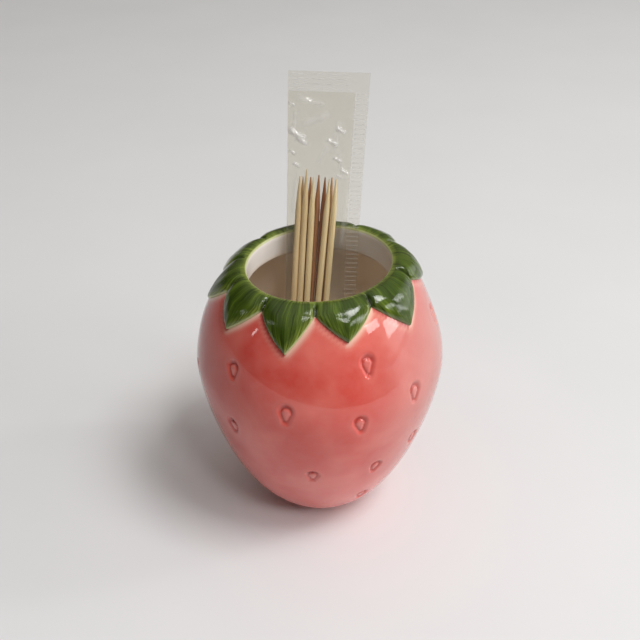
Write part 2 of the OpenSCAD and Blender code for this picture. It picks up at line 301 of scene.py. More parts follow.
# Coral underglaze sprayed in uneven passes, under a clear glaze that fired to a wet gloss.
# It pools dark red in the hollows, and thins to pink round them and on the seeds. The left
# side is painted darker, as painted shade, and the right milky, as painted light and sheen.
coral_glaze, tree, shader = new_finish("coral_glaze_on_stoneware")
place = add_node(tree, "ShaderNodeTexCoord", out="Object")
spot = add_node(tree, "ShaderNodeSeparateXYZ", {0: place}, None)
passes = add_node(tree, "ShaderNodeTexNoise", {
    "Vector": place, "Scale": 1 / 0.013, "Detail": 2.5, "Roughness": 0.5, "Distortion": 0.4})
passes = add_node(tree, "ShaderNodeMapRange", {0: passes, 1: 0.36, 2: 0.66})
speckle = add_node(tree, "ShaderNodeTexNoise", {
    "Vector": place, "Scale": 1 / 0.0028, "Detail": 4, "Roughness": 0.6})
# Two of these ranges, along X, paint shade on the left side and milky light on the right.
lower, fleck, right_painted_sheen, left_painted_shade, gloss = (
    add_node(tree, "ShaderNodeMapRange", {0: value, 1: start, 2: full, 3: least, 4: most})
    for value, start, full, least, most in (
        (spot["Z"], 0.046, 0.022, 0, 1), (speckle, 0.35, 0.7, 0, 0.16),
        (spot["X"], 0.008, 0.026, 0, 0.8), (spot["X"], -0.01, -0.026, 0, 0.65),
        (speckle, 0.3, 0.7, 0.03, 0.07)))
sprayed, dipped = (
    add_node(tree, "ShaderNodeMix", {0: passes, 6: linear(red), 7: linear(pink)}, 2, data_type="RGBA")
    for red, pink in (("#d9544a", "#ea786c"), ("#dc615a", "#e87b73")))
colour = add_node(tree, "ShaderNodeMix", {0: lower, 6: sprayed, 7: dipped}, 2, data_type="RGBA")
coats = [(fleck, "#e28f84"), (right_painted_sheen, "#bb8f88"), (left_painted_shade, "#9c352d")]
# The leaf_side tint is painted light and a faint pale band beside each leaf. The pooling tint is both
# glaze pooled in the hollows and the painted shadow on the left of each leaf.
for attribute, share, tint in (("thin", 0.15, "#dd8a80"), ("leaf_side", 0.85, "#f2cdb8"),
                               ("pooled_and_leaf_shadow", 0.75, "#ac3630"), ("seed", 0.4, "#de8f88")):
    amount = add_node(tree, "ShaderNodeAttribute", out="Fac", attribute_name=attribute)
    amount = add_node(tree, "ShaderNodeMath", {0: amount, 1: share}, operation="MULTIPLY", use_clamp=True)
    coats.append((amount, tint))
for amount, tint in coats:
    colour = add_node(tree, "ShaderNodeMix", {0: amount, 6: colour, 7: linear(tint)}, 2, data_type="RGBA")
ripple = add_node(tree, "ShaderNodeTexNoise", {"Vector": place, "Scale": 1 / 0.006, "Detail": 2})
ripple = add_node(tree, "ShaderNodeBump", {"Strength": 0.35, "Distance": 0.00012, "Height": ripple})
feed(shader, {"Base Color": colour, "Roughness": gloss, "IOR": 1.5, "Normal": ripple})

# White tin glaze poured in and out again: white on the neck, and warmer and paler below it.
white_glaze, tree, shader = new_finish("white_glaze_inside")
place = add_node(tree, "ShaderNodeTexCoord", out="Object")
cloud = add_node(tree, "ShaderNodeTexNoise", {"Vector": place, "Scale": 1 / 0.009, "Detail": 3})
height = add_node(tree, "ShaderNodeSeparateXYZ", {0: place}, "Z")
below = add_node(tree, "ShaderNodeMapRange", {0: height, 1: 0.0565, 2: 0.0535})
colour = linear("#e6dfd8")
for amount, tint in ((cloud, "#f1ece7"), (below, "#fff1e0")):
    colour = add_node(tree, "ShaderNodeMix", {0: amount, 6: colour, 7: linear(tint)}, 2, data_type="RGBA")
ripple = add_node(tree, "ShaderNodeBump", {"Strength": 0.3, "Distance": 0.0001, "Height": cloud})
feed(shader, {"Base Color": colour, "Roughness": 0.12, "IOR": 1.52, "Normal": ripple})

# Bare fired stoneware on the foot ring: matt, sandy, a little darker in its pores.
bare_clay, tree, shader = new_finish("bare_stoneware_foot")
place = add_node(tree, "ShaderNodeTexCoord", out="Object")
grit = add_node(tree, "ShaderNodeTexNoise", {
    "Vector": place, "Scale": 1 / 0.0006, "Detail": 5, "Roughness": 0.7})
colour = add_node(tree, "ShaderNodeMix", {0: grit, 6: linear("#c2b09a"), 7: linear("#e2d7c8")}, 2,
                  data_type="RGBA")
ripple = add_node(tree, "ShaderNodeBump", {"Strength": 0.5, "Distance": 0.0001, "Height": grit})
feed(shader, {"Base Color": colour, "Roughness": 0.9, "Normal": ripple})

for finish in (coral_glaze, white_glaze, bare_clay):
    clay_mesh.materials.append(finish)


def put(name, data):
    """Puts a mesh, a lamp or a camera in the scene as an object."""
    thing = bpy.data.objects.new(name, data)
    bpy.context.collection.objects.link(thing)
    return thing


cup = put("strawberry_cup", clay_mesh)
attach(cup, "holder")
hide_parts("strawberry_body")


# The leaf collar
# Ten clay leaves and the band round the lip, pressed on the wet cup as one sprigged collar.
# Each leaf has a soft rolled edge and meets its neighbour in a crease. The same clear glaze
# lies over streaky olive green and breaks pale on the lip and the leaf edges. The edges are
# painted paler on the lit right of each leaf, as painted light, and the creases darker, as painted shade.
LEAF_T, LEAF_L, LIP_W = 1.1, 8.3, LIP_R - MOUTH_R
LEAF_ROWS, LEAF_COLUMNS, SIDE_STEPS = 50, 44, 120
LIP_ROWS = (0, 0.02, 0.06, 0.13, 0.22, 0.32)
LIP_ROLL, EDGE_ROLL, CREASE_W, LEAF_SINK = 0.35, 0.9, 0.4, 0.2
PAD_FLAT, PAD_RISE, PAD_W = 0.75, 0.42, 2.8
PULL_ROUND, PULL_OUT, ROWS_CROWD = 0.38, 0.56, 1.25
RIM_REACH, LIP_WIPED, LEAF_SLACK = 2.5, 0.12, 0.0012
BRUSH_RIDGE, VEIN, CREASE_DEPTH = 0.004, 0.02, 0.82
LEAF_MARKS = ("across", "out", "rim", "crease", "shade", "from_mouth", "lit_side")
LEAVES = [  # tip's angle and reach, then the angle and reach of the notch after it
    (15.6, 0.83, 33.7, 0.42), (53.7, 0.94, 74, 0.5), (95, 0.84, 117, 0.36), (134, 0.92, 152, 0.44),
    (170, 0.9, 189, 0.42), (208, 0.9, 226, 0.4), (245, 0.95, 258, 0.5), (268, 1, 287, 0.52),
    (306.1, 0.9, 323, 0.42), (344, 0.94, 357.8, 0.37),
]

shoulder = clay_line[clay_line[:, 1] > BELLY_Z + 1][::-1]
lip_flat = np.stack([np.linspace(MOUTH_R, LIP_R, 20, endpoint=False), np.full(20, LIP_Z)], 1)
collar_line = np.vstack([lip_flat, shoulder])
collar_run = run_of(collar_line)
collar_out = np.vstack([np.tile([0.0, 1.0], (20, 1)), clay_out[clay_line[:, 1] > BELLY_Z + 1][::-1]])


def on_shoulder(angle, run, lift):
    """A point of the collar: angle round the body, run out from the mouth, lift off the clay."""
    r = np.interp(run, collar_run, collar_line[:, 0])
    z = np.interp(run, collar_run, collar_line[:, 1])
    lift = lift + wobble(angle, z) * smooth(run, LIP_W, LIP_W + 1.5)
    r = r + lift * np.interp(run, collar_run, collar_out[:, 0])
    z = z + lift * np.interp(run, collar_run, collar_out[:, 1])
    return set_mouth(np.stack([r * np.sin(angle), -r * np.cos(angle), z], -1).reshape(-1, 3))


def leaf_side(notch, tip, t):
    """Angle and reach along one side of a leaf, which bellies out and runs to its point."""
    pull = (notch[0] + PULL_ROUND * (tip[0] - notch[0]), notch[1] + PULL_OUT * (tip[1] - notch[1]))
    way = [(1 - t) ** 2 * n + 2 * t * (1 - t) * p + t * t * e for n, p, e in zip(notch, pull, tip)]
    return np.radians(way[0]), way[1]


def run_at_reach(reach):
    return np.interp(MOUTH_R + LEAF_L * reach, collar_line[:, 0], collar_run)


def tree_of(points):
    """A tree that finds the nearest of these points."""
    found = KDTree(len(points))
    for i, p in enumerate(points):
        found.insert(p, i)
    found.balance()
    return found


def closed_sheet(front, back, start):
    """One closed shell of two grids that face each other, its points numbered from start."""
    n, m = front.shape[:2]

    def at(i, j, under=0):
        return start + (under * n + i) * m + j

    faces = []
    for i in range(n - 1):
        for j in range(m - 1):
            faces.append((at(i, j), at(i, j + 1), at(i + 1, j + 1), at(i + 1, j)))
            faces.append((at(i, j, 1), at(i + 1, j, 1), at(i + 1, j + 1, 1), at(i, j + 1, 1)))
        faces.append((at(i, 0), at(i + 1, 0), at(i + 1, 0, 1), at(i, 0, 1)))
        faces.append((at(i, m - 1), at(i, m - 1, 1), at(i + 1, m - 1, 1), at(i + 1, m - 1)))
    for j in range(m - 1):
        faces.append((at(0, j), at(0, j, 1), at(0, j + 1, 1), at(0, j + 1)))
        faces.append((at(n - 1, j), at(n - 1, j + 1), at(n - 1, j + 1, 1), at(n - 1, j, 1)))
    return np.vstack([front.reshape(-1, 3), back.reshape(-1, 3)]), faces


leaf_verts, leaf_faces, leaf_marks, rim_edge = [], [], [], []
for number, (tip_angle, tip_reach, notch_angle, notch_reach) in enumerate(LEAVES):
    before = LEAVES[number - 1]
    before_angle = before[2] - 360 if before[2] > tip_angle else before[2]
    t = np.linspace(0, 1, SIDE_STEPS)
    left = leaf_side((before_angle, before[3]), (tip_angle, tip_reach), t)
    right = leaf_side((notch_angle, notch_reach), (tip_angle, tip_reach), t)
    sides = [on_shoulder(a, run_at_reach(s), 0) for a, s in (left, right)]
    rim_edge.extend(sides)
    edge_tree = tree_of(np.vstack(sides))
    rest = np.linspace(0, 1, LEAF_ROWS - len(LIP_ROWS) + 1)[1:]
    rows = LIP_ROWS[-1] + (run_at_reach(tip_reach) - LIP_ROWS[-1]) * (1 - (1 - rest) ** ROWS_CROWD)
    rows = np.concatenate([LIP_ROWS, rows])
    reach = (np.interp(rows, collar_run, collar_line[:, 0]) - MOUTH_R) / LEAF_L
    # Neighbours overlap by a hair, so that no light leaks between them.
    left_angle = np.interp(reach, left[1], left[0]) - LEAF_SLACK * (reach < before[3])
    right_angle = np.interp(reach, right[1], right[0]) + LEAF_SLACK * (reach < notch_reach)
    column = np.sin(np.linspace(-math.pi / 2, math.pi / 2, LEAF_COLUMNS))
    half_wide = (right_angle - left_angle)[:, None] / 2
    angle = (left_angle + right_angle)[:, None] / 2 + column * half_wide
    run = np.repeat(rows[:, None], LEAF_COLUMNS, 1)
    across = np.repeat(column[None], LEAF_ROWS, 0)
    ground = on_shoulder(angle.ravel(), run.ravel(), np.zeros(angle.size))
    edge = np.array([edge_tree.find(p)[2] for p in ground]).reshape(angle.shape)
    radius = np.interp(run, collar_run, collar_line[:, 0])
    crease = np.zeros(angle.shape)
    for side_angle, side_reach in ((math.radians(before_angle), before[3]),
                                   (math.radians(notch_angle), notch_reach)):
        beside = np.abs(angle - side_angle) * radius
        inner = 1 - smooth(run, run_at_reach(side_reach), run_at_reach(side_reach) + 0.8)
        crease = np.maximum(crease, np.exp(-(beside / CREASE_W) ** 2) * inner
                            * smooth(run, LIP_W * 0.5, LIP_W + 0.9))
    lip_roll = np.sqrt(1 - np.clip(1 - run / LIP_ROLL, 0, 1) ** 2)
    edge_roll = np.sqrt(1 - np.clip(1 - edge / EDGE_ROLL, 0, 1) ** 2)
    beside = across * half_wide * radius
    brushed = (np.sin(4.1 * beside + number * 2 + 1.1 * np.sin(run / 1.9))
               + 0.6 * np.sin(7.3 * beside - number + 0.8 * np.sin(run / 1.3)))
    pad = PAD_FLAT + PAD_RISE * np.minimum(smooth(edge, 0, PAD_W), smooth(run, 0, PAD_W) + 0.5)
    lift = LEAF_T * lip_roll * edge_roll * pad * (1 - CREASE_DEPTH * crease)
    lift += BRUSH_RIDGE * brushed * edge_roll * smooth(run, 0.8, 3)
    lift += VEIN * np.cos(2.7 * beside + 0.5 * number) * edge_roll * smooth(run, 1.6, 4)
    top = on_shoulder(angle.ravel(), run.ravel(), lift.ravel())
    bottom = on_shoulder(angle.ravel(), run.ravel(), np.full(angle.size, -LEAF_SINK))
    grid = (LEAF_ROWS, LEAF_COLUMNS, 3)
    verts, faces = closed_sheet(top.reshape(grid), bottom.reshape(grid), len(leaf_verts))
    leaf_verts.extend(verts.tolist())
    leaf_faces.extend(faces)
    rim = np.minimum(edge, RIM_REACH)
    rim = np.where(run < LIP_W, np.minimum(rim, np.maximum(0, run - LIP_WIPED)), rim)
    drawn_in = across * np.interp(run, [0, rows[-1]], [1, 0.45])
    # Painted light: the right half of each leaf and the lip count as lit, so pale edges show most there.
    lit = np.maximum(smooth(across, -0.3, 0.3), 1 - smooth(run, 0.5, 1.2))
    shade = np.full(run.shape, (number * 0.618) % 1)
    marks = np.stack([drawn_in + number * 3.7, run / rows[-1], rim, crease, shade, run, lit], -1)
    marks = marks.reshape(-1, len(LEAF_MARKS))
    leaf_marks.extend(np.vstack([marks, marks]).tolist())

collar_mesh = bpy.data.meshes.new("leaf_collar_sprigged")
collar_mesh.from_pydata((np.array(leaf_verts) * MM).tolist(), [], leaf_faces)
for name, values in zip(LEAF_MARKS, np.array(leaf_marks).T):
    mark(collar_mesh, name, values)
collar_work = bmesh.new()
collar_work.from_mesh(collar_mesh)
for number in range(len(LEAVES)):  # close each tip, leaf by leaf, so that neighbours stay apart
    tips = [v for v in collar_work.verts if v.index // (2 * LEAF_ROWS * LEAF_COLUMNS) == number]
    bmesh.ops.remove_doubles(collar_work, verts=tips, dist=2e-6)
    collar_work.verts.ensure_lookup_table()
bmesh.ops.dissolve_degenerate(collar_work, dist=1e-7, edges=collar_work.edges)
bmesh.ops.recalc_face_normals(collar_work, faces=collar_work.faces)
collar_work.to_mesh(collar_mesh)
collar_work.free()
collar_mesh.shade_smooth()
collar_mesh.set_sharp_from_angle(angle=SHARP_CORNER)

# Streaky olive underglaze, brushed from the lip to each tip, and clear glaze over it.
leaf_glaze, tree, shader = new_finish("olive_leaf_glaze")
across, out, rim, crease, shade, from_mouth, lit_side = (
    add_node(tree, "ShaderNodeAttribute", out="Fac", attribute_name=name) for name in LEAF_MARKS)
brush_way = add_node(tree, "ShaderNodeCombineXYZ", {0: across, 1: out, 2: shade})
fine_way = add_node(tree, "ShaderNodeMapping", {0: brush_way, "Scale": (20, 1.6, 3)})
broad_way = add_node(tree, "ShaderNodeMapping", {0: brush_way, "Scale": (3.2, 1.1, 5)})
fine = add_node(tree, "ShaderNodeTexNoise", {
    "Vector": fine_way, "Scale": 1.0, "Detail": 5, "Roughness": 0.65})
broad = add_node(tree, "ShaderNodeTexNoise", {"Vector": broad_way, "Scale": 1.0, "Detail": 2})
fine, broad, worn_and_lit, bare_and_lit, lit_side, white = (
    add_node(tree, "ShaderNodeMapRange", {0: value, 1: start, 2: full, 3: least, 4: most})
    for value, start, full, least, most in (
        (fine, 0.34, 0.72, 0, 1), (broad, 0.4, 0.68, 0, 0.65), (rim, 1.5, 0.2, 0, 1),
        (rim, 0.3, 0.06, 0, 1), (lit_side, 0, 1, 0.2, 0.85), (from_mouth, 0.12, 0.05, 0, 1)))
broad, worn_and_lit, bare_and_lit, dark = (
    add_node(tree, "ShaderNodeMath", {0: value, 1: share}, operation="MULTIPLY")
    for value, share in ((broad, fine), (worn_and_lit, fine), (bare_and_lit, lit_side), (crease, 0.9)))
worn_and_lit = add_node(tree, "ShaderNodeMath", {0: worn_and_lit, 1: lit_side}, operation="MULTIPLY")
# The pale edge tints are painted brighter on the lit right of each leaf, as painted light, and the crease
# tint is painted shade.
colour = linear("#2b390c")
for amount, tint in ((fine, "#42571a"), (broad, "#7a9230"), (worn_and_lit, "#a4b052"), (bare_and_lit, "#cdd19a"),
                     (dark, "#151f07"), (white, "#ece6e0")):
    colour = add_node(tree, "ShaderNodeMix", {0: amount, 6: colour, 7: linear(tint)}, 2, data_type="RGBA")
ridge = add_node(tree, "ShaderNodeBump", {"Strength": 0.15, "Distance": 0.0001, "Height": fine})
feed(shader, {"Base Color": colour, "Roughness": 0.04, "IOR": 1.5, "Normal": ridge})
collar_mesh.materials.append(leaf_glaze)
collar = put("leaf_collar_sprigged", collar_mesh)
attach(collar, "holder")
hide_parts("leaf_collar")

# Beside each leaf the cup is painted pale on the right, as painted light, and dark red on the
# left, as the leaf's painted shadow, with a faint pale band beyond that shadow.
LIT_FROM, LIT_W = 0.1, 0.8
SHADOW_FROM, SHADOW_W, SHADOW_SHARE, POOL_GAIN, POOL_LEAST = 0.05, 0.35, 0.8, 1.15, 0.25
BAND_AT, BAND_W, BAND_SHARE = 0.9, 0.5, 0.25
edge_tree = tree_of(np.vstack(rim_edge))
pale = np.zeros(len(points))
pooled_and_leaf_shadow = np.clip(sink * POOL_GAIN - dome - POOL_LEAST, 0, 1) * skin
for i in np.nonzero(skin & (points[:, 2] > BELLY_Z + 1.5))[0]:
    nearest, distance = edge_tree.find(points[i])[1:]
    if nearest // SIDE_STEPS % 2:
        pale[i] = math.exp(-(max(0, distance - LIT_FROM) / LIT_W) ** 2)
    else:
        pale[i] = BAND_SHARE * math.exp(-((distance - BAND_AT) / BAND_W) ** 2)
        leaf_shadow = SHADOW_SHARE * math.exp(-(max(0, distance - SHADOW_FROM) / SHADOW_W) ** 2)
        pooled_and_leaf_shadow[i] = max(pooled_and_leaf_shadow[i], leaf_shadow)
mark(clay_mesh, "leaf_side", pale)
mark(clay_mesh, "pooled_and_leaf_shadow", pooled_and_leaf_shadow)


# The sachet's film
# A flow-wrapped sachet of clear polypropylene film: one folded side, one crimped side and
# crimped ends. It is a thin closed wall round an air space, slack and creased above the
# sticks, and it leans against the back of the mouth.
FILM_T, SEAL_T = 0.1, 0.2
FOLD_X, SEAM_X, EDGE_X = -7.8, 5.2, 8.0
SACHET_L, TUBE_FROM, TUBE_TO, CLOSING_L, FLARE_Z = 92.0, 4.0, 88.0, 6.0, 62.0
FOLD_FLARE, SEAL_FLARE = 0.35, 0.8
TUBE_H, THINNER_BY, THIN_FROM, THIN_TO = 1.625, 0.3, 74, 84
SLACK_FROM, SLACK_TO = 66, 80
FREE_H, CREASED_BY = 0.6, 0.8  # half thickness from which the film creases freely, and how much
TUBE_SHARE = 0.82  # share of the points across a face that lie on the tube, not on the seal
OUTER_COLUMNS, INNER_COLUMNS = 92, 76
SACHET_FOOT, SACHET_ROLL, SACHET_LEAN = (-1.35, -3, 5.08524), 1.9, 14.7296
STANDING = (Matrix.Translation([v * MM for v in SACHET_FOOT])
            @ Matrix.Rotation(math.radians(SACHET_ROLL), 4, "Y")
            @ Matrix.Rotation(math.radians(-SACHET_LEAN), 4, "X"))
CREASES = [  # across, up, direction in degrees, half length, half width, height of the ridge
    (-6.1, 79.3, -30, 2.3, 0.85, 0.58), (-5.0, 77.9, -24, 1.5, 0.6, 0.42),
    (-6.9, 75.6, -34, 0.9, 0.5, 0.34), (-6.0, 73.0, -28, 1.0, 0.55, 0.37),
    (-7.3, 85.4, -32, 0.9, 0.45, 0.3), (3.1, 80.3, -30, 1.2, 0.6, 0.4),
    (1.4, 77.8, -26, 1.5, 0.6, 0.4), (2.5, 74.3, -30, 1.1, 0.5, 0.34), (4.2, 71.8, -34, 1.2, 0.5, 0.34),
    (2.9, 70.8, -24, 0.8, 0.4, 0.27), (-2.2, 82.4, 22, 3.4, 0.9, 0.22), (-6.6, 81.6, 84, 3.0, 0.7, 0.2),
    (2.2, 78.9, 78, 3.6, 0.8, 0.2), (3.4, 73.0, 100, 3.2, 0.7, 0.16), (-6.4, 67.0, 88, 6.0, 0.6, 0.1),
    (4.5, 62.0, 87, 7.0, 0.6, 0.1), (-3.4, 86.0, -12, 3.4, 0.7, 0.18), (-0.6, 75.2, 64, 2.6, 0.7, 0.14),
]


def flare(z):
    return np.maximum(0, z - FLARE_Z) / (SACHET_L - FLARE_Z)


def tube_half(z):
    """Half the thickness of the air space, which closes in a quarter round at both ends."""
    low = np.clip(1 - (z - TUBE_FROM) / CLOSING_L, 0, 1)
    high = np.clip(1 - (TUBE_TO - z) / CLOSING_L, 0, 1)
    thinner = 1 - THINNER_BY * smooth(z, THIN_FROM, THIN_TO)
    closing = np.sqrt(np.maximum(0, 1 - low ** 2)) * np.sqrt(np.maximum(0, 1 - high ** 2))
    return TUBE_H * thinner * closing


def tube_edges(z):
    return FOLD_X - FOLD_FLARE * flare(z) + FILM_T, SEAM_X + SEAL_FLARE * flare(z)


def tube_y(x, z, grow):
    """Half thickness at a place across the sachet: a flat oval."""
    left, right = tube_edges(z)
    w = (right - left) / 2 + grow
    u = np.clip(np.abs(x - (left + right) / 2) / w, 0, 1)
    h = tube_half(z)
    return np.where(h > 1e-4, (h + grow) * (1 - u ** 4) ** 0.25, 0)


def ridges(x, z, side):
    """The height of the sharp little ridges where the film creased."""
    y = np.zeros(np.shape(x))
    for cx, cz, way, half, width, height in CREASES:
        a = math.radians(way if side < 0 else 180 - way)
        along = (x - cx) * math.cos(a) + (z - cz) * math.sin(a)
        beside = (z - cz) * math.cos(a) - (x - cx) * math.sin(a)
        ridge = np.minimum(1 - np.abs(beside) / width, 2 - 2 * np.abs(along) / half)
        y += height * np.maximum(0, ridge)
    return y


def crumple(x, z, side):
    """How far the film stands off its plain shape, in ridges and in slack waves."""
    wave = np.sin(1.1 * x + 0.31 * z + side) * np.sin(0.23 * z - 0.6 * x + 2 * side)
    return ridges(x, z, side) + (0.04 + 0.08 * smooth(z, SLACK_FROM, SLACK_TO)) * wave


def film_face(share, z, side, inside):
    """One face of the film: share runs across it, from the folded side to the crimped side."""
    left, right = tube_edges(z)
    if inside:
        x = (left + right) / 2 - (right - left) / 2 * np.cos(math.pi * share)
        y = tube_y(x, z, 0)
        free = np.minimum(1, y / FREE_H)
    else:
        end = EDGE_X + SEAL_FLARE * flare(z)
        x = (left + right) / 2 - ((right - left) / 2 + FILM_T) * np.cos(
            math.pi * np.minimum(share / TUBE_SHARE, 1))
        on_seal = (share - TUBE_SHARE) / (1 - TUBE_SHARE)
        x = np.where(on_seal > 0, right + FILM_T + (end - right - FILM_T) * on_seal, x)
        y = np.maximum(tube_y(x, z, FILM_T), SEAL_T / 2)
        free = np.minimum(1, np.maximum(0, y - SEAL_T / 2) / FREE_H)
    y = y + crumple(x, z, side) * free * CREASED_BY
    return np.stack([x, side * y, z], -1)


FINE_FROM, LAST_TURN = 68, 0.6
turn_in = CLOSING_L * (1 - np.cos(np.linspace(0, math.pi / 2, 12)))
outer_z = np.concatenate([
    np.linspace(0, TUBE_FROM, 5)[:-1], TUBE_FROM + turn_in[:-1],
    np.arange(TUBE_FROM + CLOSING_L, FINE_FROM, 1.2), np.arange(FINE_FROM, TUBE_TO - CLOSING_L, 0.2),
    np.arange(TUBE_TO - CLOSING_L, TUBE_TO - LAST_TURN, 0.22),
    TUBE_TO - turn_in[turn_in < LAST_TURN][::-1], np.linspace(TUBE_TO, SACHET_L, 5)[1:]])
inner_z = outer_z[(outer_z > TUBE_FROM + 0.02) & (outer_z < TUBE_TO - 0.02)]
film_verts, film_faces = [], []
for zs, count, inside in ((outer_z, OUTER_COLUMNS, False), (inner_z, INNER_COLUMNS, True)):
    share, z = np.meshgrid(np.linspace(0, 1, count), zs)
    front, back = film_face(share, z, -1, inside), film_face(share, z, 1, inside)
    verts, faces = closed_sheet(front, back, len(film_verts))
    film_verts.extend((verts * MM).tolist())
    film_faces.extend([f[::-1] if inside else f for f in faces])
film_mesh = bpy.data.meshes.new("sachet_wrap")
film_mesh.from_pydata(film_verts, [], film_faces)
film_work = bmesh.new()
film_work.from_mesh(film_mesh)
bmesh.ops.remove_doubles(film_work, verts=film_work.verts, dist=1e-6)
bmesh.ops.dissolve_degenerate(film_work, dist=1e-7, edges=film_work.edges)
film_work.to_mesh(film_mesh)
film_work.free()
FULL_CREASE = 0.3  # the height of a ridge that scatters as much light as a crease can
film_x, film_y, film_z = points_of(film_mesh).T / MM
creased = np.clip(ridges(film_x, film_z, -1) / FULL_CREASE, 0, 1)
mark(film_mesh, "creased", np.where(film_y < 0, creased, 0))
film_mesh.transform(STANDING)
film_mesh.shade_smooth()

# Clear cast polypropylene: nearly all light goes through. Only where it turns edge on, or is
# creased, does it throw enough light back to be seen.
clear_film, tree, shader = new_finish("clear_polypropylene_film")
facing = add_node(tree, "ShaderNodeLayerWeight", {"Blend": 0.5}, "Facing")
edge_on = add_node(tree, "ShaderNodeMath", {0: facing, 1: 4.0}, operation="POWER")
edge_on = add_node(tree, "ShaderNodeMapRange", {0: edge_on, 3: 0.022, 4: 0.45})
creased = add_node(tree, "ShaderNodeAttribute", out="Fac", attribute_name="creased")
creased = add_node(tree, "ShaderNodeMath", {0: creased, 1: 0.3}, operation="MULTIPLY")
amount = add_node(tree, "ShaderNodeMath", {0: edge_on, 1: creased}, operation="ADD", use_clamp=True)
feed(shader, {"Base Color": linear("#f4f4f4"), "Roughness": 0.05, "IOR": 1.9, "Coat Weight": 1.0,
              "Coat Roughness": 0.03})
through = add_node(tree, "ShaderNodeBsdfTransparent", {0: linear("#faf9f6")})
film_mix = add_node(tree, "ShaderNodeMixShader", {0: amount, 1: through, 2: shader.outputs[0]})
feed(tree.nodes["Material Output"], {"Surface": film_mix})
film_mesh.materials.append(clear_film)
wrap = put("sachet_wrap", film_mesh)
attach(wrap, "sachet")
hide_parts("sachet_film")


# The crimp ribs
# The jaws of the wrapping machine press a row of fine ribs into each seal, with a small
# round bead where a rib ends beside the air space. They are the same film, raised.
RIB_PITCH, RIB_W, RIB_RISE = 1.0, 0.4, 0.08
RIB_ROWS = [  # count, first rib's height, its middle across the sachet, and its length
    (88, 0.5, 6.65, 2.5), (3, 0.5, -1.3, 12.4), (4, 88.5, -1.3, 12.6),
]

# Creased and pressed film scatters more than the flat film does, so ribs read as pale lines.
crimped_film, tree, shader = new_finish("crimped_polypropylene_film")
facing = add_node(tree, "ShaderNodeLayerWeight", {"Blend": 0.4}, "Facing")
amount = add_node(tree, "ShaderNodeMapRange", {0: facing, 1: 0.0, 2: 1.0, 3: 0.09, 4: 0.4})
feed(shader, {"Base Color": linear("#fbfbfb"), "Roughness": 0.08, "IOR": 1.5, "Coat Weight": 1.0,
              "Coat Roughness": 0.04})
through = add_node(tree, "ShaderNodeBsdfTransparent", {0: linear("#ffffff")})
rib_mix = add_node(tree, "ShaderNodeMixShader", {0: amount, 1: through, 2: shader.outputs[0]})
feed(tree.nodes["Material Output"], {"Surface": rib_mix})


def new_tree(name, inputs, output):
    """Starts a Geometry Nodes tree, and gives it, its inputs' identifiers and their values in it."""
    tree = bpy.data.node_groups.new(name, "GeometryNodeTree")
    idents = {label: tree.interface.new_socket(
        name=label, in_out="INPUT", socket_type="NodeSocket" + kind).identifier
        for label, kind in inputs.items()}
    tree.interface.new_socket(name=output, in_out="OUTPUT", socket_type="NodeSocketGeometry")
    return tree, idents, add_node(tree, "NodeGroupInput", out=None)


tree, inputs, given = new_tree("crimp_ribs", {
    "Count": "Int", "Pitch": "Float", "First": "Vector", "Length": "Float", "Width": "Float",
    "Thickness": "Float", "Flare From": "Float", "Flare Rate": "Float", "Seed": "Int"}, "Ribs")
half = add_node(tree, "ShaderNodeMath", {0: given["Length"], 1: 0.5}, operation="MULTIPLY")
minus = add_node(tree, "ShaderNodeMath", {0: half, 1: -1.0}, operation="MULTIPLY")
start = add_node(tree, "ShaderNodeCombineXYZ", {0: minus})
end = add_node(tree, "ShaderNodeCombineXYZ", {0: half})
rib_line = add_node(tree, "GeometryNodeCurvePrimitiveLine", {"Start": start, "End": end})
rib_line = add_node(tree, "GeometryNodeResampleCurve", {"Curve": rib_line, "Count": 13})
part = add_node(tree, "GeometryNodeSplineParameter", out="Factor")
round_off = add_node(tree, "ShaderNodeFloatCurve", {"Value": part})
mapping = round_off.node.mapping
shape = mapping.curves[0].points
shape[0].location, shape[1].location = (0, 0.25), (1, 0.15)
for spot in ((0.08, 1.0), (0.2, 0.62), (0.9, 0.55)):
    shape.new(*spot)
mapping.update()
half_width = add_node(tree, "ShaderNodeMath", {0: given["Width"], 1: 0.5}, operation="MULTIPLY")
ring = add_node(tree, "GeometryNodeCurvePrimitiveCircle", {"Resolution": 8, "Radius": half_width})
bar = add_node(tree, "GeometryNodeCurveToMesh", {
    "Curve": rib_line, "Profile Curve": ring, "Fill Caps": True, "Scale": round_off})
flat = add_node(tree, "ShaderNodeMath", {0: given["Thickness"], 1: given["Width"]}, operation="DIVIDE")
flat = add_node(tree, "ShaderNodeCombineXYZ", {0: 1.0, 1: flat, 2: 1.0})
bar = add_node(tree, "GeometryNodeTransform", {"Geometry": bar, "Scale": flat})
climb = add_node(tree, "ShaderNodeCombineXYZ", {2: given["Pitch"]})
row = add_node(tree, "GeometryNodeMeshLine", {
    "Count": given["Count"], "Start Location": given["First"], "Offset": climb})
up = add_node(tree, "ShaderNodeSeparateXYZ", {0: add_node(tree, "GeometryNodeInputPosition")}, "Z")
past = add_node(tree, "ShaderNodeMath", {0: up, 1: given["Flare From"]}, operation="SUBTRACT")
past = add_node(tree, "ShaderNodeMath", {0: past, 1: 0.0}, operation="MAXIMUM")
past = add_node(tree, "ShaderNodeMath", {0: past, 1: given["Flare Rate"]}, operation="MULTIPLY")
shift = add_node(tree, "ShaderNodeCombineXYZ", {0: past})
row = add_node(tree, "GeometryNodeSetPosition", {"Geometry": row, "Offset": shift})
uneven = add_node(tree, "FunctionNodeRandomValue", {
    0: (0.94, 0.7, 0.85), 1: (1.0, 1.0, 1.0), "Seed": given["Seed"]}, data_type="FLOAT_VECTOR")
row = add_node(tree, "GeometryNodeInstanceOnPoints", {"Points": row, "Instance": bar, "Scale": uneven})
row = add_node(tree, "GeometryNodeRealizeInstances", {"Geometry": row})
